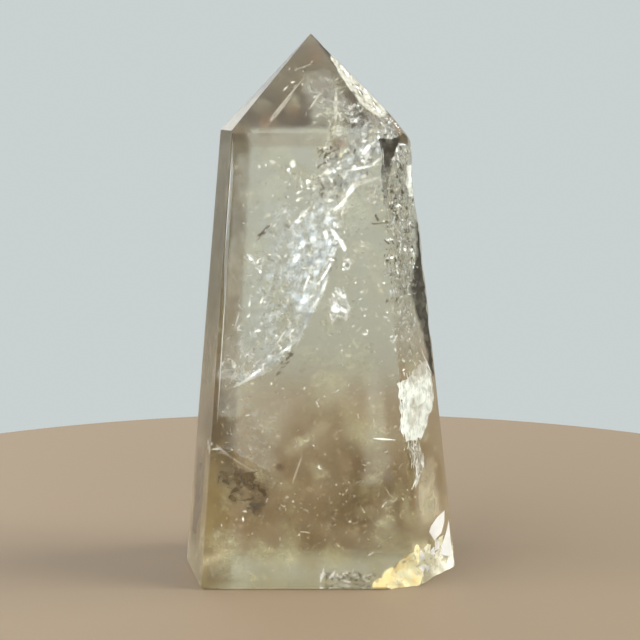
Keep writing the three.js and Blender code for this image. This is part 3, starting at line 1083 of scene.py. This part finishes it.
def add_needles():
    outlines = [
        needle((-0.41, -0.24, 0.815), (-0.1, -0.08, 0.916), 0.45),
        needle((-0.38, -0.24, 0.818), (-0.18, -0.12, 0.884), 0.4),
        needle((-0.08, -0.24, 0.853), (0.01, -0.12, 0.885), 0.4),
        needle((0.11, -0.3, 0.83), (0.115, -0.2, 0.895), 0.9),
        needle((-0.2, -0.06, 0.924), (-0.06, -0.05, 0.938), 0.18),
        needle((-0.2, -0.5, 0.18), (-0.12, -0.5, 0.24), 0.35),
        needle((-0.64, -0.6, 0.234), (-0.4, -0.5, 0.193), 0.25),
    ]
    pale = flaw("pale_needle", (0.9, 0.84, 0.74), 0.4, 0.35, 0.75)
    add_plates("pale_needles", pale, outlines)


def add_flakes():
    """Single bright flakes by the veil, and flakes along the front left edge that stand in for its
    highlight: painted highlights.
    """
    tongue = [(0.07, 0.649), (0.105, 0.644), (0.138, 0.631), (0.115, 0.627), (0.09, 0.637)]
    tongue_end = [(0.12, 0.634), (0.16, 0.627), (0.188, 0.611), (0.17, 0.606), (0.14, 0.62)]
    wing = [(0.02, 0.642), (0.05, 0.646), (0.058, 0.632), (0.04, 0.627)]
    wedge = [(0.305, 0.743), (0.27, 0.727), (0.21, 0.708), (0.18, 0.701), (0.187, 0.714), (0.236, 0.731)]
    outlines = [
        *(with_depth(outline, -0.35) for outline in (tongue, tongue_end, wing)),
        with_depth(wedge, -0.3),
        needle((-0.74, -0.7, 0.26), (-0.62, -0.6, 0.231), 0.5),
        # These two stand in for the highlight along the front left edge: painted highlights.
        needle((-0.605, -0.67, 0.812), (-0.7, -0.8, 0.5), 0.3),
        needle((-0.68, -0.77, 0.58), (-0.755, -0.875, 0.3), 0.25),
        needle((0.37, -0.72, 0.272), (0.54, -0.74, 0.269), 0.35),
        needle((0.29, -0.3, 0.78), (0.38, -0.3, 0.805), 1.0),
        needle((0.44, -0.3, 0.778), (0.35, -0.3, 0.758), 0.5),
        needle((0.37, -0.3, 0.761), (0.19, -0.3, 0.752), 0.5),
        needle((0.2, -0.3, 0.754), (0.165, -0.3, 0.735), 0.5),
    ]
    bright = flaw("bright_flake", (0.95, 0.98, 1.0), 0.3, 0.8)
    add_plates("bright_flakes_and_painted_highlights", bright, outlines, LEAN)


def add_painted_dark_reflections():
    """Painted dark reflections: dark sheets under the right front side, at its upper corner and
    along its far edge, where its faces mirror dark from within.
    """
    dark = stain("painted_dark_reflection", (0.035, 0.028, 0.015), 1.3, 0.3, least=0.6)
    spots = [(0.46, 0.8, 6, 0.75)]
    add_ribbon("painted_reflection_corner", dark, PAINTED_REFLECTION_CORNER, 8, 0.02, 0.35, spots, fade=2, ends=1, cell=0.4)
    add_ribbon("painted_reflection_band", dark, PAINTED_REFLECTION_BAND, 9, 0.02, 1.0, fade=2.5, cell=0.4)


def add_left_shades():
    """Brown low on the left side, partly its own colour and partly painted shade for the darker
    reflection there, and an olive mottle above it.
    """
    brown = stain("brown_and_painted_shade", (0.07, 0.05, 0.02), 0.85, 0.12, least=0.7)
    add_ribbon("brown_side_and_painted_shade", brown, LOW_LEFT_SIDE, 18, 0.1, 1.1, fade=5, ends=8, near=2, cell=0.6)
    olive = stain("side_mottle", (0.1, 0.08, 0.025), 0.4, 0.3, least=0.0)
    add_ribbon("side_mottle", olive, UPPER_LEFT_SIDE, 25, 0.1, 1.0, fade=3, ends=4, near=1)


CHIPS, WHITE_CHIPS = 40, 10  # how many the corner has, and how many of them are white


def corner_chip(rng):
    """A four-sided flake in the broken corner, with its points at different depths."""
    share, z = rng.uniform(0.12, 0.9), rng.uniform(0.018, 0.062)
    turn = rng.uniform(0, 2 * math.pi)
    ring = []
    for k in range(4):
        angle = turn + k * math.pi / 2 + rng.normal(0, 0.25)
        reach = rng.uniform(0.5, 1.2)
        ring.append((share + 0.09 * reach * math.cos(angle), z + 0.011 * reach * math.sin(angle)))
    depths = rng.uniform(0.6, 3.0, 4)
    return [right_side([place], depth)[0] for place, depth in zip(ring, depths)]


def add_corner_flakes():
    """The broken corner at the lower right: a leaf and a wedge that stand in for highlights on its
    broken faces, which are painted highlights, and many chips.
    """
    leaf = [(0.47, 0.088), (0.52, 0.097), (0.7, 0.108), (0.91, 0.114)]
    leaf += [(0.88, 0.095), (0.78, 0.075), (0.62, 0.066)]
    wedge = [(0.985, 0.092), (1.0, 0.02), (0.74, 0.035)]
    rng = np.random.default_rng(3)
    chips = [corner_chip(rng) for _ in range(CHIPS)]
    # The leaf and the wedge are white plates for highlights on the broken corner: painted highlights.
    white = [right_side(leaf, 0.8), right_side(wedge, 0.7), *chips[:WHITE_CHIPS]]
    add_plates("corner_flakes_and_painted_highlights", flaw("corner_flake", (1.0, 1.0, 0.96), 0.3, 0.0), white)
    yellow = flaw("yellow_flake", (0.97, 0.92, 0.68), 0.3, 0.1)
    add_plates("yellow_flakes", yellow, chips[WHITE_CHIPS:])


def add_coats():
    """Natural skin beside the point, and iron stain on the broken corner."""
    skin = crust("natural_skin", (0.92, 0.92, 0.84), (0.6, 0.56, 0.42), 0.7, 0.6)
    discs = [(0.13, -0.1, 0.94, 4), (0.2, -0.2, 0.92, 5), (0.27, -0.2, 0.9, 7), (0.34, -0.25, 0.88, 7)]
    add_coat("natural_skin", skin, (0.65, -0.4, 0.65), 0.7, discs)
    iron = crust("iron_stain", (1.0, 0.95, 0.66), (0.93, 0.77, 0.37), 0.95, 0.3)
    discs = [
        (0.69, -0.88, 0.068, 1.8), (0.66, -0.9, 0.054, 2.6), (0.61, -0.92, 0.038, 3.4),
        (0.53, -0.96, 0.017, 4.2), (0.43, -0.99, 0.006, 2.6), (0.65, -0.88, 0.017, 3.6),
    ]
    add_coat("iron_stain", iron, (0.3, -0.95, 0.0), 0.3, discs)


def add_clouds():
    """Smoky clouds, each with its centre and its radii."""
    brown = smoke("smoke_brown", (0.52, 0.415, 0.165), 42.0)
    olive = smoke("smoke_olive", (0.51, 0.43, 0.16), 40.0)
    deep = smoke("smoke_deep", (0.53, 0.4, 0.12), 46.0)
    clouds = [
        (olive, (0.15, 0.0, 0.13), (28, 8, 18)),
        (brown, (-0.55, -0.1, 0.17), (17, 9, 20)),
        (deep, (0.42, 0.1, 0.15), (15, 10, 17)),
        (olive, (0.0, 0.2, 0.25), (24, 5, 10)),
        (brown, (-0.05, 0.0, 0.935), (8, 6, 8)),
    ]
    for number, (look, centre, radii) in enumerate(clouds, 1):
        add_cloud(f"smoke_{number}", look, centre, radii, number)
    ochre = smoke("smoke_ochre", (0.8, 0.62, 0.2), 16.0)
    add_cloud("smoke_base", ochre, (0.0, 0.0, 0.03), (33, 20, 4), 9)


add_world()
add_table()
add_camera()
add_crystal()
add_veils()
add_hazes()
add_right_cracks()
add_white_puffs()
add_mist()
add_stains()
add_bright_flaws()
add_white_flaws()
add_gold_flaws()
add_pale_specks()
add_dark_flaws()
add_needles()
add_flakes()
add_painted_dark_reflections()
add_left_shades()
add_corner_flakes()
add_coats()
add_clouds()

scene.view_settings.view_transform = "Standard"
scene.cycles.max_bounces = 32
scene.cycles.transmission_bounces = 32
scene.cycles.glossy_bounces = 12
scene.cycles.transparent_max_bounces = 64
